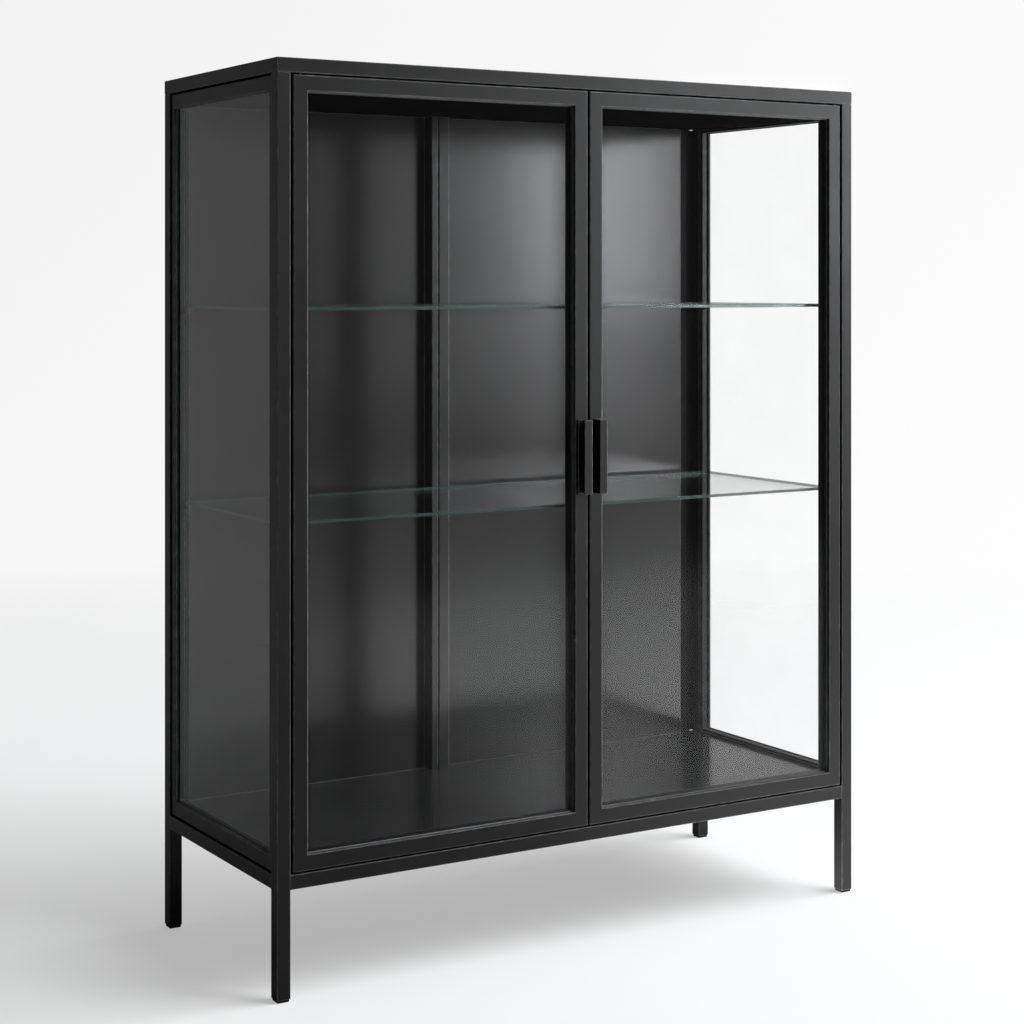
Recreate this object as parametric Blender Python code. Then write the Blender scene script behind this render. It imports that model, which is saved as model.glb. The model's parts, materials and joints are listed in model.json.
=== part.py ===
"""Free-standing two-door glass display cabinet on four legs.

Units are metres and +Z is up. The origin is on the floor, under the centre of the
cabinet's overall box, handles included. The doors are at the front, towards -Y.
"""

import math

import bmesh
import bpy

# Driving dimensions.
WIDTH = 1.000
DEPTH = 0.400
HEIGHT = 1.270
TUBE = 0.020
TUBE_WALL = 0.0015
TUBE_CORNER = 0.0012
TUBE_INNER_CORNER = 0.0003
LEG_CLEARANCE = 0.150
REVEAL = 0.0025
DOOR_SIDE_GAP = 0.004
FIT_GAP = 0.0003
SHEET = 0.0012
EDGE = 0.0005
FRAME_EDGE = 0.0010
SHARP_ANGLE = math.radians(40)

# Floor and ceiling pans stand this far off the rails.
PAN_RISE = 0.017
PAN_SIDE_GAP = 0.0095
PAN_END_BRIM = 0.001
PAN_FRONT = 0.031

# Door and side frames: profile sizes and the glazing inside them.
PANE = 0.004
DOOR_STILE = 0.022
DOOR_DEPTH = 0.027
DOOR_LIP = 0.005
REBATE = 0.008
SIDE_RECESS = 0.0025
SIDE_STILE = 0.0085
SIDE_RAIL = 0.021
SIDE_LIP = 0.004
SIDE_REBATE = 0.005
GASKET = 0.0009
PANE_CLEARANCE = 0.0007

# Back pans: a raised centre mullion, where the two pans meet off-centre, and a step back
# along each outer edge that is wider on the right.
BACK_FACE = 0.3855
BACK_FLANGE = 0.3975
BACK_EDGE_INSETS = {"left": 0.0133, "right": 0.0354}
MULLION_RISE = 0.026
SEAM_X = -0.0505
SEAM = 0.003
LEFT_RETURN = 0.0118
RIGHT_RETURN = 0.019
STRIP_DEPTH = 0.010
SEAL_SHARE_OF_STEP = 0.25

# Shelves.
SHELF_THICKNESS = 0.005
SHELF_FRONT = 0.0315
SHELF_REAR = 0.358
SHELF_HALF_WIDTH = 0.4825
SHELF_TOPS = {"lower": 0.6415, "upper": 0.9335}
BRACKET_START = 0.002
BRACKET_LEG_START = 0.009
BRACKET_LENGTH = 0.012
BRACKET_REACH = 0.008
BRACKET_DROP = 0.008
BRACKET_PLATE = 0.002

# Handles: folded channels that open away from the meeting line.
HANDLE_HEIGHT = 0.108
HANDLE_CENTRE_Z = 0.713
HANDLE_REACH = 0.020
HANDLE_WIDTH = 0.0125
HANDLE_INNER_X = 0.0070
HANDLE_PLATE = 0.002

# Hinge pins, catch magnets and feet.
PIVOT_INSET = 0.011
PIVOT_DEPTH = 0.007
PIN_RADIUS = 0.003
PIN_LENGTH = 0.010
COLLAR_RADIUS = 0.005
ROUND_STEPS = 24
MAGNET_RADIUS = 0.005
MAGNET_FROM_CENTRE = 0.030
FOOT_HEIGHT = 0.004
FOOT_PLUG = 0.015
FOOT_CLEARANCE = 0.0003

# Positions that follow from the sizes above.
FRONT_Y = HANDLE_REACH / 2 - DEPTH / 2
BACK_Y = FRONT_Y + DEPTH
POST_TOP = HEIGHT - TUBE
RAIL_TOP = LEG_CLEARANCE + TUBE
INNER_HALF_WIDTH = WIDTH / 2 - TUBE
FLOOR_Z = RAIL_TOP + PAN_RISE
CEILING_Z = POST_TOP - PAN_RISE
LEAF_LOW = RAIL_TOP + REVEAL
LEAF_HIGH = POST_TOP - REVEAL
LEAF_HEIGHT = LEAF_HIGH - LEAF_LOW
LEAF_CENTRE_Z = (LEAF_LOW + LEAF_HIGH) / 2
DOOR_WIDTH = (2 * INNER_HALF_WIDTH - 3 * DOOR_SIDE_GAP) / 2
DOOR_CENTRE_X = (DOOR_WIDTH + DOOR_SIDE_GAP) / 2
SIDE_WIDTH = DEPTH - 2 * TUBE - 2 * REVEAL
SIDE_CENTRE_Y = FRONT_Y + DEPTH / 2
PIVOT_X = INNER_HALF_WIDTH - DOOR_SIDE_GAP - PIVOT_INSET
PIVOT_Y = FRONT_Y + PIVOT_DEPTH

# Colour (linear RGBA), metallic and roughness of each material.
MATERIALS = {
    "powder_coated_steel": ((0.020, 0.020, 0.021, 1.0), 0.25, 0.42),
    "powder_coated_sheet": ((0.034, 0.034, 0.035, 1.0), 0.35, 0.38),
    "coated_profile": ((0.020, 0.020, 0.021, 1.0), 0.25, 0.40),
    "clear_glass": ((0.80, 0.90, 0.86, 0.35), 0.0, 0.03),
    "black_rubber": ((0.008, 0.008, 0.008, 1.0), 0.0, 0.75),
    "black_plastic": ((0.010, 0.010, 0.010, 1.0), 0.0, 0.55),
    "bright_steel": ((0.45, 0.45, 0.46, 1.0), 1.0, 0.30),
}


def clear_scene():
    """Remove whatever the open file holds."""
    for existing in list(bpy.data.objects):
        bpy.data.objects.remove(existing, do_unlink=True)


def make_material(name):
    """Principled material from the MATERIALS table, made once for each name."""
    if name in bpy.data.materials:
        return bpy.data.materials[name]
    colour, metallic, roughness = MATERIALS[name]
    material = bpy.data.materials.new(name)
    material.use_nodes = True
    shader = material.node_tree.nodes["Principled BSDF"]
    shader.inputs["Base Color"].default_value = colour
    shader.inputs["Metallic"].default_value = metallic
    shader.inputs["Roughness"].default_value = roughness
    material.diffuse_color = colour
    return material


def add_part(name, bm, material, location=(0, 0, 0), rotation=(0, 0, 0), parent=None):
    """Turn a bmesh into a named object at a world location, under an optional parent empty."""
    bmesh.ops.recalc_face_normals(bm, faces=bm.faces)
    mesh = bpy.data.meshes.new(name)
    bm.to_mesh(mesh)
    bm.free()
    mesh.shade_smooth()
    mesh.set_sharp_from_angle(angle=SHARP_ANGLE)
    mesh.materials.append(make_material(material))
    part = bpy.data.objects.new(name, mesh)
    bpy.context.collection.objects.link(part)
    part.rotation_euler = rotation
    part.location = location
    if parent is not None:
        part.parent = parent
        part.location = [place - origin for place, origin in zip(location, parent.location)]
    return part


def bridge_loops(loops, joined=False):
    """Closed solid through equal loops of points: joined end to start, or capped at both ends."""
    bm = bmesh.new()
    rows = [[bm.verts.new(point) for point in loop] for loop in loops]
    pairs = list(zip(rows, rows[1:]))
    if joined:
        pairs.append((rows[-1], rows[0]))
    else:
        bm.faces.new(rows[0])
        bm.faces.new(rows[-1])
    count = len(rows[0])
    for first, second in pairs:
        for index in range(count):
            after = (index + 1) % count
            bm.faces.new((first[index], first[after], second[after], second[index]))
    return bm


def rectangle(x_low, x_high, y_low, y_high, z):
    """Level rectangular loop."""
    return [(x_low, y_low, z), (x_high, y_low, z), (x_high, y_high, z), (x_low, y_high, z)]


def block(size_x, size_y, size_z, edge=0.0):
    """Box centred on the origin, with its top and bottom edges chamfered by edge."""
    half_x, half_y, half_z = size_x / 2, size_y / 2, size_z / 2
    levels = [(0, -half_z), (0, half_z)]
    if edge > 0:
        levels = [(edge, -half_z), (0, edge - half_z), (0, half_z - edge), (edge, half_z)]
    return bridge_loops([
        rectangle(inset - half_x, half_x - inset, inset - half_y, half_y - inset, z)
        for inset, z in levels
    ])


def rounded_square(half, radius, corner_steps=3):
    """Points (y, z) around a square with round corners."""
    points = []
    for quarter in range(4):
        middle = math.pi / 4 + quarter * math.pi / 2
        centre_y = math.copysign(half - radius, math.cos(middle))
        centre_z = math.copysign(half - radius, math.sin(middle))
        for step in range(corner_steps + 1):
            angle = middle - math.pi / 4 + step * math.pi / 2 / corner_steps
            points.append((centre_y + radius * math.cos(angle), centre_z + radius * math.sin(angle)))
    return points


def square_tube(length, mitred=False):
    """Open-ended square tube along X; a mitred one is full length on its -Y face."""
    outer = rounded_square(TUBE / 2, TUBE_CORNER)
    inner = rounded_square(TUBE / 2 - TUBE_WALL, TUBE_INNER_CORNER)

    def end_loop(section, side):
        slope = 1.0 if mitred else 0.0
        return [(side * (length / 2 - slope * (y + TUBE / 2)), y, z) for y, z in section]

    loops = [end_loop(outer, -1), end_loop(outer, 1), end_loop(inner, 1), end_loop(inner, -1)]
    return bridge_loops(loops, joined=True)


def frame_ring(width, height, section):
    """Rectangular frame in XZ, centred on the origin, with mitred corners.

    The section's points are (distance in from a stile's edge, distance in from a rail's
    edge, depth behind the face). The face is at Y = 0 and depth grows towards +Y.
    """
    loops = []
    for side_x, side_z in ((-1, -1), (1, -1), (1, 1), (-1, 1)):
        loops.append([
            (side_x * (width / 2 - in_x), depth, side_z * (height / 2 - in_z))
            for in_x, in_z, depth in section
        ])
    return bridge_loops(loops, joined=True)


def rebated_section(stile, rail, depth, lip, rebate):
    """L-shaped profile: a lip in front of the glass, and a rebate behind it, open to the rear."""
    back_stile = stile - rebate
    back_rail = rail - rebate
    return [
        (0, 0, FRAME_EDGE),
        (FRAME_EDGE, FRAME_EDGE, 0),
        (stile - FRAME_EDGE, rail - FRAME_EDGE, 0),
        (stile, rail, FRAME_EDGE),
        (stile, rail, lip),
        (back_stile, back_rail, lip),
        (back_stile, back_rail, depth),
        (EDGE, EDGE, depth),
        (0, 0, depth - EDGE),
    ]


def flat_section(outer_stile, outer_rail, inner_stile, inner_rail, near, far):
    """Rectangular profile between two distances in from the edge and two depths."""
    return [
        (outer_stile, outer_rail, near),
        (inner_stile, inner_rail, near),
        (inner_stile, inner_rail, far),
        (outer_stile, outer_rail, far),
    ]


def sheet_outline(path, thickness):
    """Closed outline of a sheet folded along a path of points, thickened to the path's left."""
    offset = []
    count = len(path)
    for index in range(count):
        before = path[max(index - 1, 0)]
        here = path[index]
        after = path[min(index + 1, count - 1)]
        normals = []
        for start, end in ((before, here), (here, after)):
            run_x, run_y = end[0] - start[0], end[1] - start[1]
            length = math.hypot(run_x, run_y)
            if length > 0:
                normals.append((-run_y / length, run_x / length))
        sum_x = sum(normal[0] for normal in normals)
        sum_y = sum(normal[1] for normal in normals)
        scale = 2 * thickness / (sum_x ** 2 + sum_y ** 2) if len(normals) == 2 else thickness
        offset.append((here[0] + sum_x * scale, here[1] + sum_y * scale))
    return path + offset[::-1]


def upright_extrusion(outline, height):
    """Outline in XY extruded along Z, centred on Z = 0."""
    return bridge_loops([[(x, y, z) for x, y in outline] for z in (-height / 2, height / 2)])


def turned_solid(profile):
    """Solid of revolution about Z through (radius, z) points, capped at both ends."""
    loops = []
    for radius, z in profile:
        loops.append([
            (radius * math.cos(2 * math.pi * step / ROUND_STEPS),
             radius * math.sin(2 * math.pi * step / ROUND_STEPS), z)
            for step in range(ROUND_STEPS)
        ])
    return bridge_loops(loops)


def cut(part, cutter):
    """Boolean difference, kept as a modifier, with the cutter hidden and shown as wire."""
    cutter.hide_render = True
    cutter.display_type = 'WIRE'
    modifier = part.modifiers.new("cut_" + cutter.name, 'BOOLEAN')
    modifier.operation = 'DIFFERENCE'
    modifier.solver = 'EXACT'
    modifier.object = cutter


def build_posts():
    """Four corner posts, each a tube open at both ends, from the feet to the top frame."""
    low = FOOT_HEIGHT
    high = POST_TOP - FIT_GAP
    for depth_name, y in (("front", FRONT_Y + TUBE / 2), ("rear", BACK_Y - TUBE / 2)):
        for side_name, side in (("left", -1), ("right", 1)):
            add_part(
                f"post_{depth_name}_{side_name}", square_tube(high - low), "powder_coated_steel",
                (side * (WIDTH - TUBE) / 2, y, (low + high) / 2), (0, -math.pi / 2, 0))


def build_rails():
    """Top frame of four mitred tubes on the posts, and four straight tubes between the posts."""
    mitre_relief = 2 * FIT_GAP * math.cos(math.pi / 4)
    centre_y = (FRONT_Y + BACK_Y) / 2
    sides = (
        ("front", 0.0, WIDTH, (0, FRONT_Y + TUBE / 2)),
        ("right", math.pi / 2, DEPTH, ((WIDTH - TUBE) / 2, centre_y)),
        ("back", math.pi, WIDTH, (0, BACK_Y - TUBE / 2)),
        ("left", -math.pi / 2, DEPTH, ((TUBE - WIDTH) / 2, centre_y)),
    )
    for name, turn, length, (x, y) in sides:
        add_part(
            f"top_rail_{name}", square_tube(length - mitre_relief, mitred=True),
            "powder_coated_steel", (x, y, HEIGHT - TUBE / 2), (0, 0, turn))
        add_part(
            f"bottom_rail_{name}", square_tube(length - 2 * TUBE - 2 * FIT_GAP),
            "powder_coated_steel", (x, y, LEG_CLEARANCE + TUBE / 2), (0, 0, turn))


def pan(half_width, y_low, y_high, face_z, rim_z):
    """Sheet pan with a flat face at face_z, walls running to rim_z, and a brim along the rim."""
    away = math.copysign(1.0, face_z - rim_z)

    def level(z, inset=0.0, side_brim=0.0, end_brim=0.0):
        return rectangle(
            inset - half_width - side_brim, half_width - inset + side_brim,
            y_low + inset - end_brim, y_high - inset + end_brim, z)

    brim = {"side_brim": PAN_SIDE_GAP - FIT_GAP, "end_brim": PAN_END_BRIM}
    return bridge_loops([
        level(face_z - away * SHEET, inset=SHEET),
        level(rim_z, inset=SHEET),
        level(rim_z, **brim),
        level(rim_z + away * SHEET, **brim),
        level(rim_z + away * SHEET),
        level(face_z - away * EDGE),
        level(face_z, inset=EDGE),
    ])


def build_pans():
    """Top panel in the top frame, and the ceiling and floor pans of the display space."""
    inside = INNER_HALF_WIDTH - FIT_GAP
    top_low = POST_TOP + FIT_GAP
    top_high = HEIGHT - FIT_GAP
    y_low = FRONT_Y + TUBE + FIT_GAP
    y_high = BACK_Y - TUBE - FIT_GAP
    add_part("top_panel", bridge_loops([
        rectangle(SHEET - inside, inside - SHEET, y_low + SHEET, y_high - SHEET, top_high - SHEET),
        rectangle(SHEET - inside, inside - SHEET, y_low + SHEET, y_high - SHEET, top_low),
        rectangle(-inside, inside, y_low, y_high, top_low),
        rectangle(-inside, inside, y_low, y_high, top_high - EDGE),
        rectangle(EDGE - inside, inside - EDGE, y_low + EDGE, y_high - EDGE, top_high),
    ]), "powder_coated_steel")
    spans = (
        ("floor_pan", FLOOR_Z, RAIL_TOP + FIT_GAP),
        ("ceiling_pan", CEILING_Z, POST_TOP - FIT_GAP),
    )
    for name, face_z, rim_z in spans:
        sheet_pan = pan(INNER_HALF_WIDTH - PAN_SIDE_GAP, FRONT_Y + PAN_FRONT,
                        BACK_Y - PAN_END_BRIM - FIT_GAP, face_z, rim_z)
        add_part(name, sheet_pan, "powder_coated_sheet")


def build_back():
    """Two back pans whose returns form the mullion, the strip behind their seam, and edge seals."""
    low = FLOOR_Z + FIT_GAP
    high = CEILING_Z - FIT_GAP
    height = high - low
    centre_z = (low + high) / 2
    face_y = FRONT_Y + BACK_FACE
    flange_y = FRONT_Y + BACK_FLANGE
    mullion_y = face_y - MULLION_RISE
    for name, side, return_width in (("left", -1, LEFT_RETURN), ("right", 1, RIGHT_RETURN)):
        seam_x = SEAM_X + side * SEAM / 2
        mullion_x = SEAM_X + side * return_width
        outer_x = side * (INNER_HALF_WIDTH - FIT_GAP)
        inset = BACK_EDGE_INSETS[name]
        step_x = side * (INNER_HALF_WIDTH - inset)
        path = [
            (outer_x, flange_y), (step_x, flange_y), (step_x, face_y),
            (mullion_x, face_y), (mullion_x, mullion_y), (seam_x, mullion_y),
        ]
        if side > 0:
            path.reverse()
        add_part(f"back_pan_{name}", upright_extrusion(sheet_outline(path, SHEET), height),
                 "powder_coated_sheet", (0, 0, centre_z))
        seal_width = inset - 3 * FIT_GAP
        seal_depth = (flange_y - face_y) * SEAL_SHARE_OF_STEP
        add_part(
            f"back_seal_{name}", block(seal_width, seal_depth, height), "black_rubber",
            (outer_x - side * seal_width / 2, flange_y - FIT_GAP - seal_depth / 2, centre_z))
    strip_low = SEAM_X - LEFT_RETURN + SHEET + FIT_GAP
    strip_high = SEAM_X + RIGHT_RETURN - SHEET - FIT_GAP
    strip_y = mullion_y + MULLION_RISE / 2
    add_part("back_joining_strip", block(strip_high - strip_low, STRIP_DEPTH, height),
             "powder_coated_sheet", ((strip_low + strip_high) / 2, strip_y, centre_z))


def build_glazed_frame(prefix, suffix, width, section_sizes, location, turn, parent=None):
    """Frame, gasket, pane and rear bead; returns the frame, whose face is at the location."""
    stile, rail, depth, lip, rebate = section_sizes
    height = LEAF_HEIGHT
    glass_depth = lip + GASKET + 2 * FIT_GAP
    bead_depth = glass_depth + PANE + FIT_GAP
    stile_shoulder = stile - rebate
    rail_shoulder = rail - rebate
    frame = add_part(
        f"{prefix}_frame_{suffix}",
        frame_ring(width, height, rebated_section(stile, rail, depth, lip, rebate)),
        "coated_profile", location, (0, 0, turn), parent)
    add_part(
        f"{prefix}_gasket_{suffix}",
        frame_ring(width, height, flat_section(
            stile_shoulder + PANE_CLEARANCE, rail_shoulder + PANE_CLEARANCE, stile, rail,
            lip + FIT_GAP, lip + FIT_GAP + GASKET)),
        "black_rubber", location, (0, 0, turn), parent)
    add_part(
        f"{prefix}_bead_{suffix}",
        frame_ring(width, height, flat_section(
            stile_shoulder + FIT_GAP, rail_shoulder + FIT_GAP, stile, rail, bead_depth, depth)),
        "coated_profile", location, (0, 0, turn), parent)
    pane = block(width - 2 * (stile_shoulder + PANE_CLEARANCE), PANE,
                 height - 2 * (rail_shoulder + PANE_CLEARANCE))
    bmesh.ops.translate(pane, verts=pane.verts, vec=(0, glass_depth + PANE / 2, 0))
    add_part(f"{prefix}_glass_{suffix}", pane, "clear_glass", location, (0, 0, turn), parent)
    return frame


def build_sides():
    """Glazed side frames between the posts, set back a little from the posts' outer faces."""
    sizes = (SIDE_STILE, SIDE_RAIL, TUBE - SIDE_RECESS, SIDE_LIP, SIDE_REBATE)
    for name, side in (("left", -1), ("right", 1)):
        location = (side * (WIDTH / 2 - SIDE_RECESS), SIDE_CENTRE_Y, LEAF_CENTRE_Z)
        build_glazed_frame("side", name, SIDE_WIDTH, sizes, location, side * math.pi / 2)


def build_shelves():
    """Two glass shelves, each on four angle brackets fixed to the side frames' stiles."""
    for level, top in SHELF_TOPS.items():
        centre_y = FRONT_Y + (SHELF_FRONT + SHELF_REAR) / 2
        add_part(
            f"shelf_{level}",
            block(2 * SHELF_HALF_WIDTH, SHELF_REAR - SHELF_FRONT, SHELF_THICKNESS, EDGE),
            "clear_glass", (0, centre_y, top - SHELF_THICKNESS / 2))
        under = top - SHELF_THICKNESS - FIT_GAP
        ends = (("front", 1, TUBE + REVEAL), ("rear", -1, DEPTH - TUBE - REVEAL))
        for end_name, end, stile_y in ends:
            for side_name, side in (("left", -1), ("right", 1)):
                name = f"shelf_bracket_{level}_{end_name}_{side_name}"
                corner = (side * (INNER_HALF_WIDTH - FIT_GAP), FRONT_Y + stile_y, under)
                add_part(name, shelf_bracket(side, end), "powder_coated_steel", corner)


def shelf_bracket(side, end):
    """Angle bracket: a flange on the stile's inner face, and a leg reaching in under the shelf.

    The leg starts further from the door than the flange, so the door's corner can swing past.
    """
    near, leg_near, far = BRACKET_START, BRACKET_LEG_START, BRACKET_LEG_START + BRACKET_LENGTH
    plate, reach, drop = BRACKET_PLATE, BRACKET_REACH, BRACKET_DROP
    corners = {
        "outer": [(0, near, 0), (0, far, 0), (0, far, -drop), (0, near, -drop)],
        "fold": [(-plate, near, 0), (-plate, leg_near, 0), (-plate, leg_near, -plate),
                 (-plate, far, -plate), (-plate, far, -drop), (-plate, near, -drop)],
        "leg": [(-reach, leg_near, 0), (-reach, far, 0), (-reach, far, -plate),
                (-reach, leg_near, -plate)],
    }
    bm = bmesh.new()
    outer, fold, leg = (
        [bm.verts.new((side * x, end * y, z)) for x, y, z in corners[part]]
        for part in ("outer", "fold", "leg"))
    for face in (
            outer,
            fold,
            leg,
            (outer[0], fold[0], fold[1], leg[0], leg[1], outer[1]),
            (outer[1], leg[1], leg[2], fold[3], fold[4], outer[2]),
            (outer[0], outer[3], fold[5], fold[0]),
            (outer[3], outer[2], fold[4], fold[5]),
            (fold[1], fold[2], leg[3], leg[0]),
            (fold[2], fold[3], leg[2], leg[3])):
        bm.faces.new(face)
    return bm


def build_doors():
    """Two hinged glass doors; everything on a door hangs from an empty on its hinge axis."""
    sizes = (DOOR_STILE, DOOR_STILE, DOOR_DEPTH, DOOR_LIP, REBATE)
    for name, side in (("left", -1), ("right", 1)):
        axis = bpy.data.objects.new(f"hinge_axis_{name}", None)
        bpy.context.collection.objects.link(axis)
        axis.location = (side * PIVOT_X, PIVOT_Y, LEAF_CENTRE_Z)
        location = (side * DOOR_CENTRE_X, FRONT_Y, LEAF_CENTRE_Z)
        frame = build_glazed_frame("door", name, DOOR_WIDTH, sizes, location, 0.0, axis)
        for end_name, end, leaf_z, rail_z in (
                ("lower", -1, LEAF_LOW, RAIL_TOP), ("upper", 1, LEAF_HIGH, POST_TOP)):
            build_hinge_end(f"{end_name}_{name}", side, end, leaf_z, rail_z, frame, axis)
        add_part(
            f"handle_{name}", upright_extrusion(handle_outline(side), HANDLE_HEIGHT),
            "powder_coated_steel", (0, FRONT_Y, HANDLE_CENTRE_Z), (0, 0, 0), axis)
        magnet_length = PAN_FRONT - DOOR_DEPTH - 3 * FIT_GAP
        magnet_centre_y = FRONT_Y + PAN_FRONT - FIT_GAP - magnet_length / 2
        add_part(
            f"catch_magnet_{name}",
            turned_solid([(MAGNET_RADIUS, -magnet_length / 2), (MAGNET_RADIUS, magnet_length / 2)]),
            "bright_steel",
            (side * MAGNET_FROM_CENTRE, magnet_centre_y, (CEILING_Z + LEAF_HIGH) / 2),
            (math.pi / 2, 0, 0))


def build_hinge_end(label, side, end, leaf_z, rail_z, frame, axis):
    """Collared pivot pin on a carcass rail, and the blind hole for it in the door's rail."""
    collar_top = end * (REVEAL - FIT_GAP)
    pin = turned_solid([
        (PIN_RADIUS, -end * PIN_LENGTH),
        (PIN_RADIUS, end * FIT_GAP),
        (COLLAR_RADIUS, end * FIT_GAP),
        (COLLAR_RADIUS, collar_top),
    ])
    add_part(f"hinge_pin_{label}", pin, "bright_steel", (side * PIVOT_X, PIVOT_Y, leaf_z))
    hole_radius = PIN_RADIUS + FIT_GAP
    hole_depth = PIN_LENGTH + 2 * FIT_GAP
    over_run = (rail_z - leaf_z) / 2
    cutter = add_part(
        f"hinge_hole_{label}",
        turned_solid([(hole_radius, -end * hole_depth), (hole_radius, over_run)]),
        "bright_steel", (side * PIVOT_X, PIVOT_Y, leaf_z), (0, 0, 0), axis)
    cut(frame, cutter)


def handle_outline(side):
    """Folded channel in plan, from the stile's face out to the lip; it opens away from the middle."""
    inner = HANDLE_INNER_X
    outer = HANDLE_INNER_X + HANDLE_WIDTH
    rear = -FIT_GAP
    front = -HANDLE_REACH
    plate = HANDLE_PLATE
    points = [
        (inner, rear), (outer, rear), (outer, rear - plate), (inner + plate, rear - plate),
        (inner + plate, front + plate), (outer, front + plate), (outer, front), (inner, front),
    ]
    return [(side * x, y) for x, y in points]


def build_feet():
    """Plastic glides plugged into the lower ends of the posts."""
    tube_inside = TUBE / 2 - TUBE_WALL
    plug = tube_inside - FOOT_CLEARANCE
    shoulder = FOOT_HEIGHT - FIT_GAP
    levels = [
        (tube_inside - EDGE, 0.0),
        (tube_inside, EDGE),
        (tube_inside, shoulder),
        (plug, shoulder),
        (plug, FOOT_HEIGHT + FOOT_PLUG),
    ]
    for depth_name, y in (("front", FRONT_Y + TUBE / 2), ("rear", BACK_Y - TUBE / 2)):
        for side_name, side in (("left", -1), ("right", 1)):
            glide = bridge_loops([rectangle(-half, half, -half, half, z) for half, z in levels])
            add_part(f"foot_{depth_name}_{side_name}", glide, "black_plastic",
                     (side * (WIDTH - TUBE) / 2, y, 0))


def build_cabinet():
    """Every part, in order."""
    clear_scene()
    build_posts()
    build_rails()
    build_pans()
    build_back()
    build_sides()
    build_shelves()
    build_doors()
    build_feet()


build_cabinet()
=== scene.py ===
import json
import math

import bmesh
import bpy
from mathutils import Matrix, Vector


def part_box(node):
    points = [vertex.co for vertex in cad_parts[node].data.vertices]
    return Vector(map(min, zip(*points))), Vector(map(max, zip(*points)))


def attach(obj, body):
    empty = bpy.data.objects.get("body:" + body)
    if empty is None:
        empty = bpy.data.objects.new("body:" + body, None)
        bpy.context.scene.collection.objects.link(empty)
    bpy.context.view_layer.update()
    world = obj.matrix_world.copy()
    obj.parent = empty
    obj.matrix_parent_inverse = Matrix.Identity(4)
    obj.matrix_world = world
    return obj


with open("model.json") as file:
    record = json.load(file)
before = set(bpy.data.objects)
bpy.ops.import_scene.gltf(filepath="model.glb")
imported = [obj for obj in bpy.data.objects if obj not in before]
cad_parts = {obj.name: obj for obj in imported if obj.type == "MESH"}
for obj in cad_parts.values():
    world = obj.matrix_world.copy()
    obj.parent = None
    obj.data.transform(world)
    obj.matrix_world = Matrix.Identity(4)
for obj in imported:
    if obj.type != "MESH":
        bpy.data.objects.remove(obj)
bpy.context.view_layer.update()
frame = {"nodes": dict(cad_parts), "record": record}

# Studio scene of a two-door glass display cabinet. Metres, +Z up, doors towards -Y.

# Camera. The lens looks level, and its shift keeps the uprights parallel.
CAMERA_PLACE = (-1.678, -2.732, 0.966)
CAMERA_HEADING = math.radians(-31.31)
CAMERA_LENS = 73.08
CAMERA_SENSOR = 36.0
CAMERA_SHIFT_UP = -0.2233

# Studio. Bearings are degrees to the right of straight out from the doors. The floor fades into the
# backdrop between two distances, and the backdrop is brightest at the right and low down.
FLOOR_RADIUS = 40.0
FLOOR_SIDES = 96
FLOOR_FADE_START = 1.6
FLOOR_FADE_END = 4.2
BACKDROP_DIM = 0.905
BACKDROP_BRIGHT = 0.975
BACKDROP_REACH = 0.25
BACKDROP_RISE = 0.15
BACKDROP_LIFT = 0.02
ROOM_DARK = 0.03
ROOM_LOBES = (
    # bearing, cosine from it where the glow starts, cosine where it is full, level
    (105.0, -0.15, 1.0, 0.52),
    (150.0, 0.72, 0.97, 0.14),
    (211.0, 0.92, 0.975, 0.24),
)

# Far floor, as reflections see it: its level, where it fades out below the horizon, the bearing
# it lies at, the cosines from it where it starts and is full, and how its upper edge slants.
FAR_FLOOR = 1.0
FAR_FLOOR_FADE = (-0.162, -0.138)
FAR_FLOOR_BEARING = 55.0
FAR_FLOOR_EDGES = (0.0, 0.6)
FAR_FLOOR_SLANT = 0.17
FAR_FLOOR_SLANT_TURN = 66.0

# Pool of light on the backdrop. Its edges are right of the camera's heading and its top is above
# the horizon, both as parts of a unit direction.
POOL_EDGES = (0.070, 0.094, 0.149, 0.162)
POOL_TOP = 0.090
POOL_TOP_FADE = 0.01
POOL_LEVEL = 0.065

# Floor, to the camera: two greys and a glow. To everything else: a darker grey, and a patch that
# glows (bearing, cosine from it where the glow starts, cosine where it is full, level).
FLOOR_PALE = (0.48, 0.48, 0.48)
FLOOR_LESS_PALE = (0.46, 0.46, 0.46)
FLOOR_GLOW_SEEN = 0.425
FLOOR_BOUNCE = (0.32, 0.32, 0.32)
FLOOR_PATCH = (65.0, 0.65, 0.97, 1.60)

# Softboxes.
AIM_HEIGHT = 0.75
SOFTBOX_COLOUR = (0.965, 0.98, 1.0)
LIGHTS = (
    # name, bearing, distance, height, width, tall, power, what it lights
    ("key_softbox", 39.5, 3.24, 1.47, 0.42, 1.20, 11.8, "not panes"),
    ("key_lower_softbox", 39.5, 3.24, 0.66, 0.42, 0.42, 1.1, "not panes"),
    ("frame_softbox", 46.0, 3.24, 1.45, 0.40, 1.25, 22.0, "frames"),
    ("fill_softbox", 31.0, 3.3, 1.22, 0.95, 1.30, 2.2, "not panes"),
    ("right_softbox", 95.0, 3.2, 1.30, 1.2, 1.8, 27.0, "not panes"),
    ("top_softbox", 46.0, 2.4, 3.30, 1.0, 1.0, 50.0, "not panes"),
    ("floor_softbox", 60.0, 5.0, 5.80, 6.0, 6.0, 900.0, "floor"),
)

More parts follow.
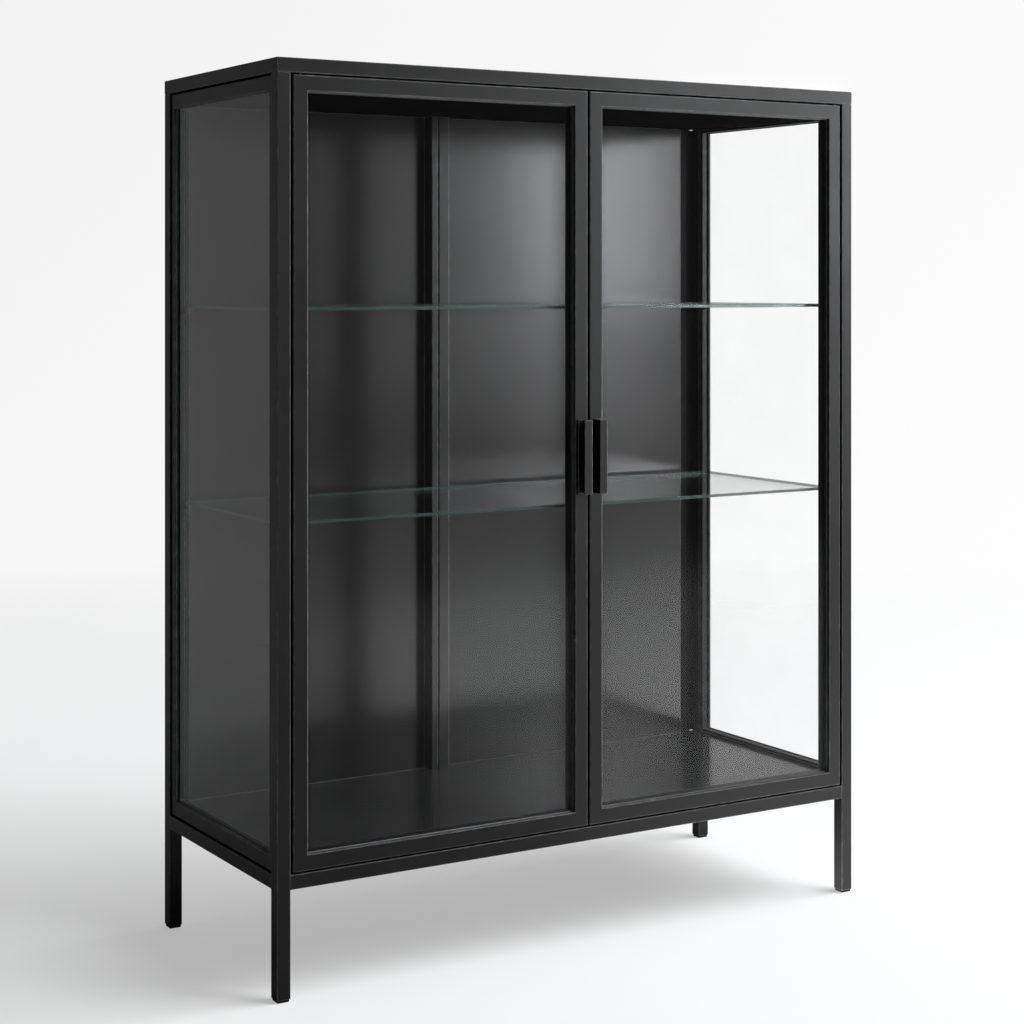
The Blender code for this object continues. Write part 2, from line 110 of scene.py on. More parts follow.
# Noises: features to the metre, detail, roughness. The values in the band, or in the narrower
# core, are stretched over what the noise drives.
GRAIN = (1400.0, 1.0, 0.5)
PEEL = (190.0, 2.0, 0.5)
CLOUD = (5.0, 4.0, 0.6)
DUST = (GRAIN[0] / 3, 3.0, 0.7)
EDGE_WEAR_AND_HIGHLIGHT_PATCHES = (60.0, 4.0, 0.7)
BLOOM = (40.0, 4.0, 0.7)
DULL_PATCHES = (120.0, 3.0, 0.6)
SMEARS = (9.0, 4.0, 0.6)
RIPPLE = (420.0, 2.0, 0.5)
EDGE_TONE = (35.0, 3.0, 0.5)
FLOOR_MOTTLE = (3.0, 3.0, 0.5)
NOISE_BAND = (0.3, 0.7)
NOISE_CORE = (0.35, 0.65)

# Coatings: colour, roughness and gloss of each.
FRAME_BLACK = (0.0105, 0.0105, 0.0110)
SHEET_BLACK = (0.024, 0.024, 0.025)
FLOOR_SHEET_BLACK = (0.032, 0.032, 0.033)
# The ceiling pan is the same sheet as the other pans: its near-black, glossless copy of the coat is
# painted shade for its shaded underside.
CEILING_PAINTED_SHADE = (0.003, 0.003, 0.003)
# Pale colour along every edge: partly wear, partly a painted highlight where the rounded edges would
# catch the light.
EDGE_WEAR_AND_HIGHLIGHT = (0.75, 0.75, 0.76)
FRAME_ROUGHNESS = 0.40
SHEET_ROUGHNESS = 0.18
FLOOR_SHEET_ROUGHNESS = 0.19
CEILING_ROUGHNESS = 0.45
FRAME_GLOSS = 0.28
SHEET_GLOSS = 0.70
FLOOR_SHEET_GLOSS = 0.30
CEILING_GLOSS = 0.0

# What the coatings share: rounded edges, wear and a painted edge highlight between two cosines of lean,
# clouds, dust, bumps.
EDGE_RADIUS = 0.0012
EDGE_LEAN = (0.995, 0.93)
EDGE_SAMPLES = 4
WEAR_AND_HIGHLIGHT = 0.80
EDGE_WEAR_AND_HIGHLIGHT_PATCH_RANGE = (0.45, 0.70)
EDGE_WEAR_AND_HIGHLIGHT_PATCH_LEAST = 0.40
CLOUD_LIGHTER = 0.25
CLOUD_DARKER = 0.15
CLOUD_ROUGHNESS_STEP = 0.05
GRAIN_ROUGHNESS_STEP = 0.03
DUST_BRIGHTNESS = 2
DUST_RANGE = (0.66, 0.74)
GRAIN_STRENGTH = 0.5
PEEL_STRENGTH = 0.25

# Grain depth, orange peel depth and cloudiness of each coating.
FRAME_FINISH = (0.00006, 0.00012, 1.0)
SHEET_FINISH = (0.0000005, 0.000002, 0.15)
CEILING_FINISH = (0.00001, 0.00001, 0.3)

# Moulded finishes: colour, roughness, grain to the metre, grain depth.
# Sealant grey: partly the sealant's own tone, partly a painted highlight line round each pane.
SEALANT_GREY_AND_HIGHLIGHT = ((0.10, 0.104, 0.106), 0.30, 500.0, 0.00005)
# Black rubber: the seals in the rear grooves are partly a dark stand-in for the shade in those grooves.
RUBBER_AND_PAINTED_SHADE = ((0.006, 0.006, 0.006), 0.72, 900.0, 0.0001)
PLASTIC = ((0.009, 0.009, 0.009), 0.50, 1400.0, 0.00006)
MOULDED_GRAIN_DETAIL = 3.0
BLOOM_RANGE = (0.4, 0.7)
BLOOM_MOST = 0.6
BLOOM_BRIGHTNESS = 2.2
MOULDED_GLOSS = 0.2
MOULDED_STRENGTH = 0.6
MOULDED_ROUGHNESS_STEP = 0.08

# Steels: the colour of their dull patches, and of the rest.
BRIGHT_STEEL = ((0.38, 0.38, 0.39), (0.55, 0.55, 0.56))
DARK_STEEL = ((0.012, 0.012, 0.012), (0.03, 0.03, 0.03))
STEEL_ROUGHNESS = (0.22, 0.38)
TOOL_MARKS_PER_METRE = 900.0
TOOL_MARK_WANDER = 2.0
TOOL_MARK_DETAIL = 2.0
TOOL_MARK_STRENGTH = 0.2
TOOL_MARK_DEPTH = 0.00005

# Glass.
PANE_TINT = (0.999, 1.0, 1.0)
SHELF_TINT = (0.989, 0.994, 0.993)
EDGE_GREEN = (0.045, 0.095, 0.084)
EDGE_CLEARNESS = 0.15
GLASS_EDGE_RADIUS = 0.0016
GRAZING_POWER = 5.0
DOOR_MIRROR_HEAD_ON = 0.008
SIDE_MIRROR_HEAD_ON = 0.026
SHELF_MIRROR_HEAD_ON = 0.008
PANE_MIRROR_GRAZING = 0.80
SHELF_MIRROR_GRAZING = 0.50
SMEAR_DIMMING = 0.99
MIRROR_ROUGHNESS = (0.01, 0.05)
CUT_EDGE_FLATNESS = (0.5, 0.9)
EDGE_GREEN_DARKEST = 0.7
EDGE_ROUGHNESS = 0.16
EDGE_GLOSS = 0.6
RIPPLE_STRENGTH = 0.3
RIPPLE_DEPTH = 0.0002

# Angle at which the shading of an added piece breaks.
SHARP_ANGLE = math.radians(35)

# Screws: radius and height of each head. Its dome and socket are shares of them, and its rim sinks
# into the face under it.
SCREW_STEPS = 24
SCREW_SINK = 0.0002
SCREW_DOME = ((1.0, 0.0), (1.0, 0.35), (0.9, 0.7), (0.72, 0.92), (0.6, 1.0))
SOCKET_SHARE = 0.45
SOCKET_RISES = (1.0, 0.3)
HANDLE_SCREW = (0.0042, 0.0022)
HANDLE_SCREW_SPREAD = 0.35
BACK_SCREW = (0.0040, 0.0018)
BACK_SCREW_INSET = 0.012
BACK_SCREWS = 6
BRACKET_SCREW = (0.0018, 0.0008)
BRACKET_SCREW_RISE = 0.003
BRACKET_PLATE = 0.002

# Sealant fillet, the plugs beside the pans, and the strip under the floor pan's front edge.
SEALANT_SIZE = (0.0013, 0.0010)
SEALANT_HOLLOW = (0.6, 0.5)
PLUG_WIDTH = 0.0090
PLUG_DEPTH = 0.0080
PLUG_GAP = 0.0016
STRIP_GAP = 0.0003
STRIP_THICKNESS = 0.0020
STRIP_UNDER_PAN = 0.0200
BLOCK_ROUND = 0.0005
BLOCK_ROUND_STEPS = 3


def add_node(tree, kind, inputs=None, **settings):
    """Shader node with its properties set and its inputs joined to sockets or set to values."""
    node = tree.nodes.new(kind)
    for name, value in settings.items():
        setattr(node, name, value)
    for name, value in (inputs or {}).items():
        if isinstance(value, bpy.types.NodeSocket):
            tree.links.new(value, node.inputs[name])
        else:
            node.inputs[name].default_value = value
    return node


def start_material(name):
    """Empty node material and its tree."""
    material = bpy.data.materials.new(name)
    material.use_nodes = True
    material.node_tree.nodes.clear()
    return material, material.node_tree


def finish_material(tree, shader):
    """Join a shader output to the material's surface."""
    add_node(tree, "ShaderNodeOutputMaterial", {"Surface": shader})


def noise(tree, place, scale, detail, roughness=0.5):
    """Noise value at a place, its scale in features to the metre."""
    return add_node(tree, "ShaderNodeTexNoise", {
        "Vector": place, "Scale": scale, "Detail": detail, "Roughness": roughness,
    }).outputs["Fac"]


def spread(tree, value, low_in, high_in, low_out, high_out):
    """Map a value from one range to another, held at both ends."""
    return add_node(tree, "ShaderNodeMapRange", {
        "Value": value, "From Min": low_in, "From Max": high_in,
        "To Min": low_out, "To Max": high_out,
    }).outputs["Result"]


def maths(tree, operation, first, second=0.0):
    """One Math node."""
    return add_node(tree, "ShaderNodeMath", {0: first, 1: second}, operation=operation).outputs[0]


def blend_colours(tree, share, first, second):
    """Mix of two colours by a share."""
    node = add_node(tree, "ShaderNodeMix", {"Factor": share}, data_type="RGBA")
    colours = [socket for socket in node.inputs if socket.type == "RGBA"]
    for socket, value in zip(colours, (first, second)):
        if isinstance(value, bpy.types.NodeSocket):
            tree.links.new(value, socket)
        else:
            socket.default_value = (*value, 1.0)
    return next(socket for socket in node.outputs if socket.type == "RGBA")


def rounded_normal(tree, radius):
    """Normal that rounds every edge over a radius."""
    return add_node(tree, "ShaderNodeBevel", {"Radius": radius}, samples=EDGE_SAMPLES).outputs["Normal"]


def edge_mask(tree, rounded):
    """1 close to an edge, 0 on flat faces: how far a rounded normal leans from the true one."""
    flat = add_node(tree, "ShaderNodeNewGeometry").outputs["Normal"]
    lean = add_node(tree, "ShaderNodeVectorMath", {0: rounded, 1: flat}, operation="DOT_PRODUCT")
    return spread(tree, lean.outputs["Value"], *EDGE_LEAN, 0.0, 1.0)


def coating(name, colour, roughness, gloss, finish):
    """Powder coat: fine grain and orange peel, cloudy gloss and shade, and pale edges that are partly
    wear, partly a painted highlight.
    """
    grain_depth, peel_depth, cloudiness = finish
    material, tree = start_material(name)
    place = add_node(tree, "ShaderNodeTexCoord").outputs["Object"]
    grain = noise(tree, place, *GRAIN)
    peel = noise(tree, place, *PEEL)
    cloud = noise(tree, place, *CLOUD)
    dust = noise(tree, place, *DUST)
    rounded = rounded_normal(tree, EDGE_RADIUS)
    edges = edge_mask(tree, rounded)
    patches = noise(tree, place, *EDGE_WEAR_AND_HIGHLIGHT_PATCHES)
    # Edge mask, broken up by patches: partly wear, partly a painted highlight along every edge.
    wear_and_highlight = maths(tree, "MULTIPLY", edges,
                 spread(tree, patches, *EDGE_WEAR_AND_HIGHLIGHT_PATCH_RANGE, EDGE_WEAR_AND_HIGHLIGHT_PATCH_LEAST, 1.0))
    lighter = tuple((1 + CLOUD_LIGHTER * cloudiness) * channel for channel in colour)
    darker = tuple((1 - CLOUD_DARKER * cloudiness) * channel for channel in colour)
    shade = blend_colours(tree, spread(tree, cloud, *NOISE_CORE, 0.0, 1.0), darker, lighter)
    dusty = tuple(DUST_BRIGHTNESS * channel for channel in colour)
    specks = spread(tree, dust, *DUST_RANGE, 0.0, cloudiness ** 2)
    speckled = blend_colours(tree, specks, shade, dusty)
    base = blend_colours(tree, maths(tree, "MULTIPLY", wear_and_highlight, WEAR_AND_HIGHLIGHT), speckled, EDGE_WEAR_AND_HIGHLIGHT)
    cloud_step = CLOUD_ROUGHNESS_STEP * cloudiness
    cloudy = spread(tree, cloud, *NOISE_BAND, roughness - cloud_step, roughness + cloud_step)
    grain_step = GRAIN_ROUGHNESS_STEP * cloudiness
    grainy = maths(tree, "ADD", cloudy, spread(tree, grain, *NOISE_BAND, -grain_step, grain_step))
    grain_bump = add_node(tree, "ShaderNodeBump", {
        "Height": grain, "Strength": GRAIN_STRENGTH, "Distance": grain_depth, "Normal": rounded})
    peel_bump = add_node(tree, "ShaderNodeBump", {
        "Height": peel, "Strength": PEEL_STRENGTH, "Distance": peel_depth,
        "Normal": grain_bump.outputs["Normal"]})
    shader = add_node(tree, "ShaderNodeBsdfPrincipled", {
        "Base Color": base, "Roughness": grainy, "Normal": peel_bump.outputs["Normal"],
        "Specular IOR Level": gloss})
    finish_material(tree, shader.outputs["BSDF"])
    return material


def pane_glass(name, axis, head_on, tint=PANE_TINT, mirror_grazing=PANE_MIRROR_GRAZING):
    """Flat glass: clear through its faces, with a mirrored share, and green at its cut edges.

    The axis is the pane's thin direction; a face whose normal is off it is a cut edge. The two
    mirror shares are for light that meets the glass head on and at a grazing angle.
    """
    material, tree = start_material(name)
    coordinates = add_node(tree, "ShaderNodeTexCoord")
    place = coordinates.outputs["Object"]
    along = add_node(tree, "ShaderNodeVectorMath", {
        0: coordinates.outputs["Normal"], 1: axis}, operation="DOT_PRODUCT").outputs["Value"]
    flatness = maths(tree, "ABSOLUTE", along)
    cut_edge = spread(tree, flatness, *CUT_EDGE_FLATNESS, 1.0, 0.0)
    smears = noise(tree, place, *SMEARS)
    smeared = tuple(SMEAR_DIMMING * channel for channel in tint)
    tinted = blend_colours(tree, spread(tree, smears, *NOISE_CORE, 0.0, 1.0), smeared, tint)
    clear = add_node(tree, "ShaderNodeBsdfTransparent", {"Color": tinted})
    mirror = add_node(tree, "ShaderNodeBsdfAnisotropic", {
        "Color": (1, 1, 1, 1), "Roughness": spread(tree, smears, *NOISE_BAND, *MIRROR_ROUGHNESS)})
    slant = add_node(tree, "ShaderNodeLayerWeight", {"Blend": 0.5}).outputs["Facing"]
    grazing = maths(tree, "POWER", slant, GRAZING_POWER)
    share = spread(tree, grazing, 0.0, 1.0, head_on, mirror_grazing)
    face = add_node(tree, "ShaderNodeMixShader", {
        0: share, 1: clear.outputs["BSDF"], 2: mirror.outputs["BSDF"]})
    ripple = add_node(tree, "ShaderNodeBump", {
        "Height": noise(tree, place, *RIPPLE), "Strength": RIPPLE_STRENGTH,
        "Distance": RIPPLE_DEPTH, "Normal": rounded_normal(tree, GLASS_EDGE_RADIUS)})
    tone = noise(tree, place, *EDGE_TONE)
    darkest = tuple(EDGE_GREEN_DARKEST * channel for channel in EDGE_GREEN)
    green = blend_colours(tree, spread(tree, tone, *NOISE_BAND, 0.0, 1.0), darkest, EDGE_GREEN)
    edge = add_node(tree, "ShaderNodeBsdfPrincipled", {
        "Base Color": green, "Roughness": EDGE_ROUGHNESS, "Normal": ripple.outputs["Normal"],
        "Specular IOR Level": EDGE_GLOSS})
    see_through = add_node(tree, "ShaderNodeMixShader", {
        0: EDGE_CLEARNESS, 1: edge.outputs["BSDF"], 2: clear.outputs["BSDF"]})
    surface = add_node(tree, "ShaderNodeMixShader", {
        0: cut_edge, 1: face.outputs["Shader"], 2: see_through.outputs["Shader"]})
    finish_material(tree, surface.outputs["Shader"])
    return material


def moulded(name, colour, roughness, grain_per_metre, depth):
    """Rubber, plastic or sealant with a moulded grain and a bloom of dust."""
    material, tree = start_material(name)
    place = add_node(tree, "ShaderNodeTexCoord").outputs["Object"]
    grain = noise(tree, place, grain_per_metre, MOULDED_GRAIN_DETAIL)
    bloom = spread(tree, noise(tree, place, *BLOOM), *BLOOM_RANGE, 0.0, BLOOM_MOST)
    dusty = tuple(BLOOM_BRIGHTNESS * channel for channel in colour)
    base = blend_colours(tree, bloom, colour, dusty)
    bump = add_node(tree, "ShaderNodeBump", {
        "Height": grain, "Strength": MOULDED_STRENGTH, "Distance": depth})
    grainy = spread(tree, grain, *NOISE_BAND,
                    roughness - MOULDED_ROUGHNESS_STEP, roughness + MOULDED_ROUGHNESS_STEP)
    shader = add_node(tree, "ShaderNodeBsdfPrincipled", {
        "Base Color": base, "Normal": bump.outputs["Normal"],
        "Specular IOR Level": MOULDED_GLOSS, "Roughness": grainy})
    finish_material(tree, shader.outputs["BSDF"])
    return material


def turned_steel(name, dull_colour, bright_colour):
    """Steel with fine tool marks and a few dull patches."""
    material, tree = start_material(name)
    place = add_node(tree, "ShaderNodeTexCoord").outputs["Object"]
    marks = add_node(tree, "ShaderNodeTexWave", {
        "Vector": place, "Scale": TOOL_MARKS_PER_METRE, "Distortion": TOOL_MARK_WANDER,
        "Detail": TOOL_MARK_DETAIL}, bands_direction='Z').outputs["Fac"]
    dull = noise(tree, place, *DULL_PATCHES)
    base = blend_colours(tree, dull, dull_colour, bright_colour)
    bump = add_node(tree, "ShaderNodeBump", {
        "Height": marks, "Strength": TOOL_MARK_STRENGTH, "Distance": TOOL_MARK_DEPTH})
    shader = add_node(tree, "ShaderNodeBsdfPrincipled", {
        "Base Color": base, "Metallic": 1.0, "Normal": bump.outputs["Normal"],
        "Roughness": spread(tree, dull, *NOISE_BAND, *STEEL_ROUGHNESS)})
    finish_material(tree, shader.outputs["BSDF"])
    return material


def make_materials():
    """Every finish on the cabinet, by name."""
    return {
        "frame": coating("frame_powder_coat", FRAME_BLACK, FRAME_ROUGHNESS, FRAME_GLOSS,
                         FRAME_FINISH),
        "ceiling": coating("ceiling_coat_painted_shade", CEILING_PAINTED_SHADE, CEILING_ROUGHNESS, CEILING_GLOSS,
                           CEILING_FINISH),
        "sheet": coating("sheet_powder_coat", SHEET_BLACK, SHEET_ROUGHNESS, SHEET_GLOSS,
                         SHEET_FINISH),
        "floor_sheet": coating("floor_powder_coat", FLOOR_SHEET_BLACK, FLOOR_SHEET_ROUGHNESS,
                               FLOOR_SHEET_GLOSS, SHEET_FINISH),
        "door_pane": pane_glass("door_pane_glass", (0, 1, 0), DOOR_MIRROR_HEAD_ON),
        "side_pane": pane_glass("side_pane_glass", (1, 0, 0), SIDE_MIRROR_HEAD_ON),
        "shelf": pane_glass("shelf_glass", (0, 0, 1), SHELF_MIRROR_HEAD_ON, SHELF_TINT,
                            SHELF_MIRROR_GRAZING),
        "sealant": moulded("sealant_grey_and_painted_highlight", *SEALANT_GREY_AND_HIGHLIGHT),
        "rubber": moulded("rubber_and_painted_shade", *RUBBER_AND_PAINTED_SHADE),
        "plastic": moulded("foot_plastic", *PLASTIC),
        "steel": turned_steel("turned_steel", *BRIGHT_STEEL),
        "dark_steel": turned_steel("blackened_steel", *DARK_STEEL),
    }


def finish_for(node, slot):
    """Name of the finish that a CAD node takes."""
    # The ceiling pan takes the darker, glossless copy of the sheet coat: painted shade.
    if node == "ceiling_pan":
        return "ceiling"
    if node == "floor_pan":
        return "floor_sheet"
    if node == "top_panel":
        return "frame"
    if slot == "clear_glass":
        kind = node.split("_")[0]
        return "shelf" if kind == "shelf" else f"{kind}_pane"
    return {
        "powder_coated_steel": "frame",
        "coated_profile": "frame",
        "powder_coated_sheet": "sheet",
        "black_rubber": "rubber",
        "black_plastic": "plastic",
        "bright_steel": "dark_steel" if node.startswith("hinge_pin") else "steel",
    }[slot]


def dress_cad(materials):
    """Give every CAD node its finish."""
    for entry in frame["record"]["subparts"]:
        node = entry["node"]
        finish = materials[finish_for(node, entry["material_slot"])]
        for holder in frame["nodes"][node].material_slots:
            holder.material = finish


def screw_rings(radius, height):
    """Rings of points for a domed head with a hexagon socket, standing on Z = 0."""
    socket = radius * SOCKET_SHARE
    rings = []
    for share, rise in SCREW_DOME:
        rings.append([
            (share * radius * math.cos(turn), share * radius * math.sin(turn), rise * height)
            for turn in ring_turns()])
    half_side = math.pi / 6
    for rise in SOCKET_RISES:
        ring = []
        for turn in ring_turns():
            corner = turn % (2 * half_side) - half_side
            reach = socket * math.cos(half_side) / math.cos(corner)
            ring.append((reach * math.cos(turn), reach * math.sin(turn), rise * height))
        rings.append(ring)
    return rings


def ring_turns():
    """Angles around a screw head."""
    return [2 * math.pi * step / SCREW_STEPS for step in range(SCREW_STEPS)]


def add_screw(bm, place, outwards, size):
    """Add one screw head to a mesh, its underside at the place and its top facing outwards."""
    turn = Vector((0, 0, 1)).rotation_difference(Vector(outwards)).to_matrix().to_4x4()
    move = Matrix.Translation(Vector(place)) @ turn
    rows = [[bm.verts.new(move @ Vector(point)) for point in ring]
            for ring in screw_rings(*size)]
    bm.faces.new(rows[0][::-1])
    bm.faces.new(rows[-1])
    for first, second in zip(rows, rows[1:]):
        for index in range(SCREW_STEPS):
            after = (index + 1) % SCREW_STEPS
            bm.faces.new((first[index], first[after], second[after], second[index]))


def add_piece(name, bm, material, body):
    """New piece from a mesh, riding on a body."""
    bmesh.ops.recalc_face_normals(bm, faces=bm.faces)
    mesh = bpy.data.meshes.new(name)
    bm.to_mesh(mesh)
    bm.free()
    mesh.shade_smooth()
    mesh.set_sharp_from_angle(angle=SHARP_ANGLE)
    mesh.materials.append(material)
    piece = bpy.data.objects.new(name, mesh)
    bpy.context.scene.collection.objects.link(piece)
    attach(piece, body)
    return piece


def add_handle_screws(materials):
    """Two socket screws through each door's meeting stile into its handle, on the rear face."""
    for side in ("left", "right"):
        low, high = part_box(f"handle_{side}")
        frame_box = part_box(f"door_frame_{side}")
        meeting = 1 if side == "left" else 0
        across = (frame_box[meeting][0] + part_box(f"door_bead_{side}")[meeting][0]) / 2
        rear = frame_box[1][1] - SCREW_SINK
        middle = (low[2] + high[2]) / 2
        reach = (high[2] - low[2]) * HANDLE_SCREW_SPREAD
        bm = bmesh.new()
        for z in (middle - reach, middle + reach):
            add_screw(bm, (across, rear, z), (0, 1, 0), HANDLE_SCREW)
        add_piece(f"handle_screws_{side}", bm, materials["steel"], f"door_{side}")


def add_bracket_screws(materials):
    """One small screw through each shelf bracket's flange into the side frame."""
    for side, inwards in (("left", 1), ("right", -1)):
        bm = bmesh.new()
        for level in ("lower", "upper"):
            for end in ("front", "rear"):
                low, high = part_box(f"shelf_bracket_{level}_{end}_{side}")
                flange = low[0] + BRACKET_PLATE if side == "left" else high[0] - BRACKET_PLATE
                place = (flange - inwards * SCREW_SINK, (low[1] + high[1]) / 2,
                         low[2] + BRACKET_SCREW_RISE)
                add_screw(bm, place, (inwards, 0, 0), BRACKET_SCREW)
        add_piece(f"bracket_screws_{side}", bm, materials["dark_steel"], "carcass")


def add_back_screws(materials):
    """Screws that hold the back pans' flanges, seen from behind."""
    for side in ("left", "right"):
        low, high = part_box(f"back_pan_{side}")
        edge = low[0] + BACK_SCREW_INSET if side == "left" else high[0] - BACK_SCREW_INSET
        bm = bmesh.new()
        for step in range(BACK_SCREWS):
            z = low[2] + (high[2] - low[2]) * (step + 0.5) / BACK_SCREWS
            add_screw(bm, (edge, high[1] - SCREW_SINK, z), (0, 1, 0), BACK_SCREW)
        add_piece(f"back_screws_{side}", bm, materials["frame"], "carcass")


def ring_of_sections(corners_of, section):
    """Closed ring along a rectangle, with the section's points set out at each of its corners."""
    bm = bmesh.new()
    rows = []
    for side_across, side_up in ((-1, -1), (1, -1), (1, 1), (-1, 1)):
        rows.append([bm.verts.new(corners_of(side_across, side_up, inward, out))
                     for inward, out in section])
    for first, second in zip(rows, rows[1:] + rows[:1]):
        for index in range(len(section)):
            after = (index + 1) % len(section)
            bm.faces.new((first[index], first[after], second[after], second[index]))
    return bm


def sealant_ring(kind, side):
    """Fillet of sealant around one pane, in the corner between the glass and its frame's lip."""
    across = 0 if kind == "door" else 1
    frame_name = f"{kind}_frame_{side}"
    points = [vertex.co for vertex in frame["nodes"][frame_name].data.vertices]
    low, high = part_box(frame_name)
    middle = [(low[axis] + high[axis]) / 2 for axis in range(3)]
    half_across = min(abs(point[across] - middle[across]) for point in points)
    half_up = min(abs(point[2] - middle[2]) for point in points)
    outwards = 1 if (kind, side) == ("side", "right") else -1
    pane_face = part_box(f"{kind}_glass_{side}")[max(outwards, 0)][1 - across]
    width, height = SEALANT_SIZE
    hollow_across, hollow_up = SEALANT_HOLLOW
    section = ((0.0, 0.0), (width, 0.0), (hollow_across * width, hollow_up * height), (0.0, height))

    def corner(side_across, side_up, inward, out):
        point = [0.0, 0.0, middle[2] + side_up * (half_up - inward)]
        point[across] = middle[across] + side_across * (half_across - inward)
        point[1 - across] = pane_face + outwards * out
        return point

    return ring_of_sections(corner, section)


def add_sealant(materials):
    """Thin fillet of sealant between each frame's lip and its pane, all round the opening; its pale
    grey is partly a painted highlight line along the pane.
    """
    for kind in ("door", "side"):
        for side in ("left", "right"):
            body = f"door_{side}" if kind == "door" else "carcass"
            add_piece(f"{kind}_sealant_{side}", sealant_ring(kind, side), materials["sealant"],
                      body)


def rounded_block(low, high):
    """Block between two corners, its edges rounded."""
    middle = (Vector(low) + Vector(high)) / 2
    bm = bmesh.new()
    bmesh.ops.create_cube(bm, size=1.0)
    bmesh.ops.scale(bm, vec=Vector(high) - Vector(low), verts=bm.verts)
    bmesh.ops.bevel(bm, geom=bm.edges[:], offset=BLOCK_ROUND, segments=BLOCK_ROUND_STEPS,
                    affect='EDGES')
    bmesh.ops.translate(bm, vec=middle, verts=bm.verts)
    return bm


def add_corner_plugs(materials):
    """Moulded plugs that close the channels beside the floor and ceiling pans at the rear."""
    for pan in ("floor", "ceiling"):
        low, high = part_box(f"{pan}_pan")
        for side in ("left", "right"):
            outer = low[0] if side == "left" else high[0]
            inner = outer + (PLUG_WIDTH if side == "left" else -PLUG_WIDTH)
            rear = high[1] - PLUG_GAP
            bm = rounded_block((min(outer, inner), rear - PLUG_DEPTH, low[2] + PLUG_GAP),
                               (max(outer, inner), rear, high[2] - PLUG_GAP))
            add_piece(f"{pan}_corner_plug_{side}", bm, materials["plastic"], "carcass")


def add_support_strip(materials):
    """Steel strip behind the front bottom rail, which carries the floor pan's front flange."""
    rail_low, rail_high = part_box("bottom_rail_front")
    pan_low, pan_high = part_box("floor_pan")
    top = pan_low[2] - STRIP_GAP
    bm = rounded_block((pan_low[0] + STRIP_GAP, rail_high[1] + STRIP_GAP, top - STRIP_THICKNESS),
                       (pan_high[0] - STRIP_GAP, pan_low[1] + STRIP_UNDER_PAN, top))
    add_piece("floor_support_strip", bm, materials["frame"], "carcass")


def add_camera():
    """Level camera at the photograph's angle."""
    data = bpy.data.cameras.new("studio_camera")
    data.sensor_width = CAMERA_SENSOR
    data.lens = CAMERA_LENS
    data.shift_y = CAMERA_SHIFT_UP
    camera = bpy.data.objects.new("studio_camera", data)
    camera.location = CAMERA_PLACE
    camera.rotation_euler = (math.pi / 2, 0.0, CAMERA_HEADING)
    bpy.context.scene.collection.objects.link(camera)
    bpy.context.scene.camera = camera


def lit_only(name, objects, state):
    """Collection for light linking, with each object included or excluded."""
    group = bpy.data.collections.new(name)
    for member in objects:
        group.objects.link(member)
    for entry in group.collection_objects:
        entry.light_linking.link_state = state
    return group


def add_lights(floor):
    """Softboxes that face the middle of the cabinet, one for the floor and one for the frames."""
    aim = Vector((0.0, 0.0, AIM_HEIGHT))
    panes = [node for name, node in frame["nodes"].items() if "_glass_" in name]
    sheets = [node for name, node in frame["nodes"].items() if "_pan" in name]
    groups = {
        "floor": lit_only("lights_floor", [floor], 'INCLUDE'),
        "not panes": lit_only("lights_not_panes", panes + [floor], 'EXCLUDE'),
        "frames": lit_only("lights_frames", panes + sheets + [floor], 'EXCLUDE'),
    }
    for name, bearing, distance, height, width, tall, power, lights in LIGHTS:
        data = bpy.data.lights.new(name, 'AREA')
        data.shape = 'RECTANGLE'
        data.size = width
        data.size_y = tall
        data.energy = power
        data.color = SOFTBOX_COLOUR
        light = bpy.data.objects.new(name, data)
        turn = math.radians(bearing)
        light.location = (distance * math.sin(turn), -distance * math.cos(turn), height)
        light.rotation_euler = (aim - light.location).to_track_quat('-Z', 'Y').to_euler()
        light.visible_camera = False
        light.light_linking.receiver_collection = groups[lights]
        bpy.context.scene.collection.objects.link(light)


def backdrop_colour(tree, direction):
    """Pale backdrop that brightens towards the right, with a pool of light low on the right."""
    towards = (math.cos(CAMERA_HEADING), math.sin(CAMERA_HEADING), 0.0)
    across = add_node(tree, "ShaderNodeVectorMath", {0: direction, 1: towards},
                      operation="DOT_PRODUCT").outputs["Value"]
    up = add_node(tree, "ShaderNodeSeparateXYZ", {"Vector": direction}).outputs["Z"]
    sideways = spread(tree, across, -BACKDROP_REACH, BACKDROP_REACH, BACKDROP_DIM, BACKDROP_BRIGHT)
    upwards = spread(tree, up, -BACKDROP_RISE, BACKDROP_RISE, BACKDROP_LIFT, -BACKDROP_LIFT)
    level = maths(tree, "ADD", sideways, upwards)
    outer_left, inner_left, inner_right, outer_right = POOL_EDGES
    pool = maths(tree, "MULTIPLY", spread(tree, across, outer_left, inner_left, 0.0, POOL_LEVEL),
                 spread(tree, across, inner_right, outer_right, 1.0, 0.0))
    pool = maths(tree, "MULTIPLY", pool,
                 spread(tree, up, POOL_TOP, POOL_TOP + POOL_TOP_FADE, 1.0, 0.0))
    return maths(tree, "ADD", level, pool)


def glow_towards(tree, direction, bearing, start, full, level):
    """Glow that grows as a direction turns towards a bearing."""
    turn = math.radians(bearing)
    towards = (math.sin(turn), -math.cos(turn), 0.0)
    across = add_node(tree, "ShaderNodeVectorMath", {0: direction, 1: towards},
                      operation="DOT_PRODUCT").outputs["Value"]
    return spread(tree, across, start, full, 0.0, level)


